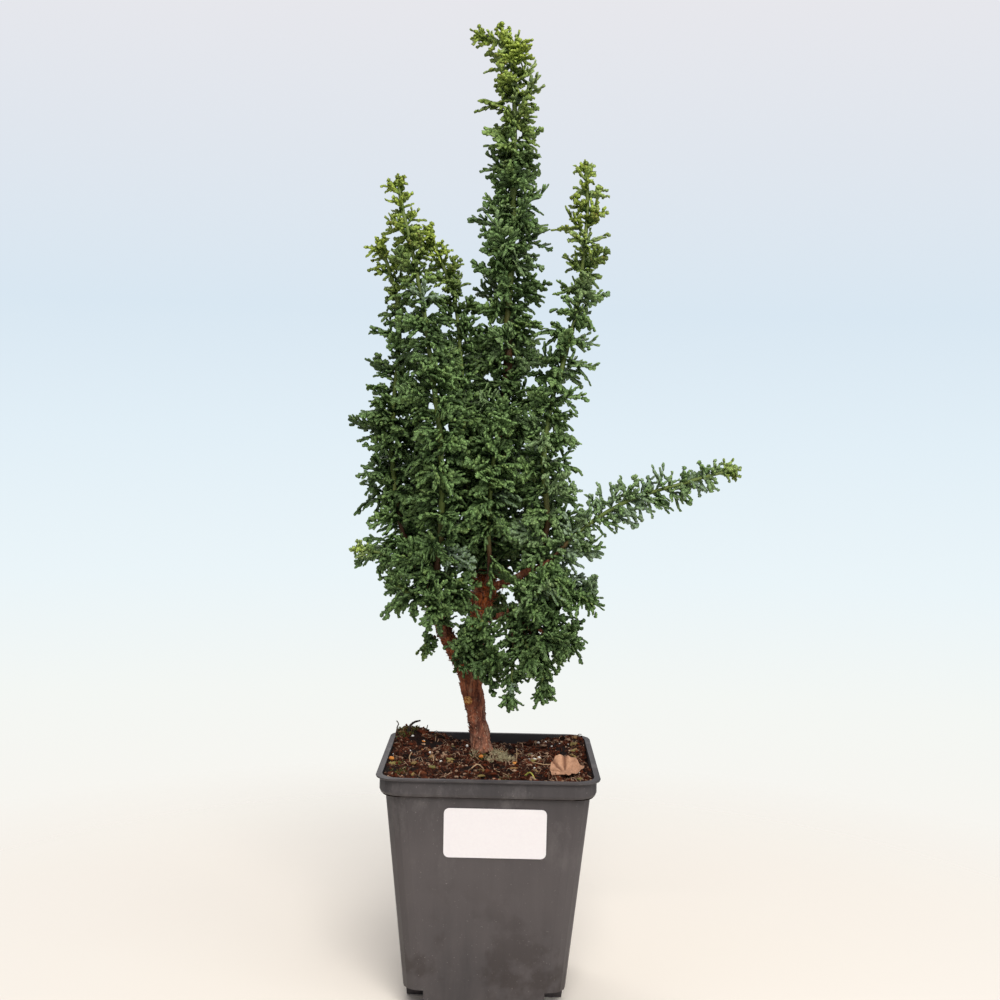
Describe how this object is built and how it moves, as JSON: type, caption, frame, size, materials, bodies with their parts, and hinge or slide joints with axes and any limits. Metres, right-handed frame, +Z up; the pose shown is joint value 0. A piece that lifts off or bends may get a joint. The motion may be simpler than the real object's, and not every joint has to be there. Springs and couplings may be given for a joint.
{
  "type": "potted hinoki cypress bonsai",
  "caption": "Young hinoki cypress with upright columns of dense dark green fan-shaped sprays and a long side branch on a red-brown trunk, in a square dark grey nursery pot of peat soil.",
  "frame": {"origin": "centre of the flat underside of the pot's base, where it rests", "axes": "+Z up along the tree, -Y is the pot's front with the blank label, +X to the right of the front, where the long side branch points"},
  "size_m": [0.2031, 0.1208, 0.4977],
  "materials": {
    "pot_plastic": "matt, scuffed",
    "label_paper": "smooth, blank",
    "soil_peat": "rough, fibrous",
    "bark": "rough, flaking",
    "foliage": "satin, waxy",
    "dry_leaf": "dry, matt",
    "dark_twig": "rough"
  },
  "bodies": {
    "root": {"pot": "pot_plastic", "label": "label_paper", "soil": "soil_peat", "wood": "bark", "leader_main": "foliage", "leader_left": "foliage", "leader_inner": "foliage", "leader_outer": "foliage", "leader_right": "foliage", "lateral_right": "foliage", "leader_front": "foliage", "leader_back": "foliage", "leader_back_right": "foliage", "leader_back_left": "foliage", "mass_right_upper": "foliage", "mass_right_lower": "foliage", "mass_right_front": "foliage", "mass_right_back": "foliage", "mass_right_foot": "foliage", "mass_right_under": "foliage", "hanging_near": "foliage", "hanging_far": "foliage", "clump_front_left": "foliage", "clump_front_right": "foliage", "clump_front_top": "foliage", "clump_left": "foliage", "clump_between": "foliage", "tuft_left": "foliage", "left_tip": "foliage", "skirt_left": "foliage", "skirt_back": "foliage", "dead_leaf": "dry_leaf", "twig": "dark_twig"}
  },
  "joints": []
}
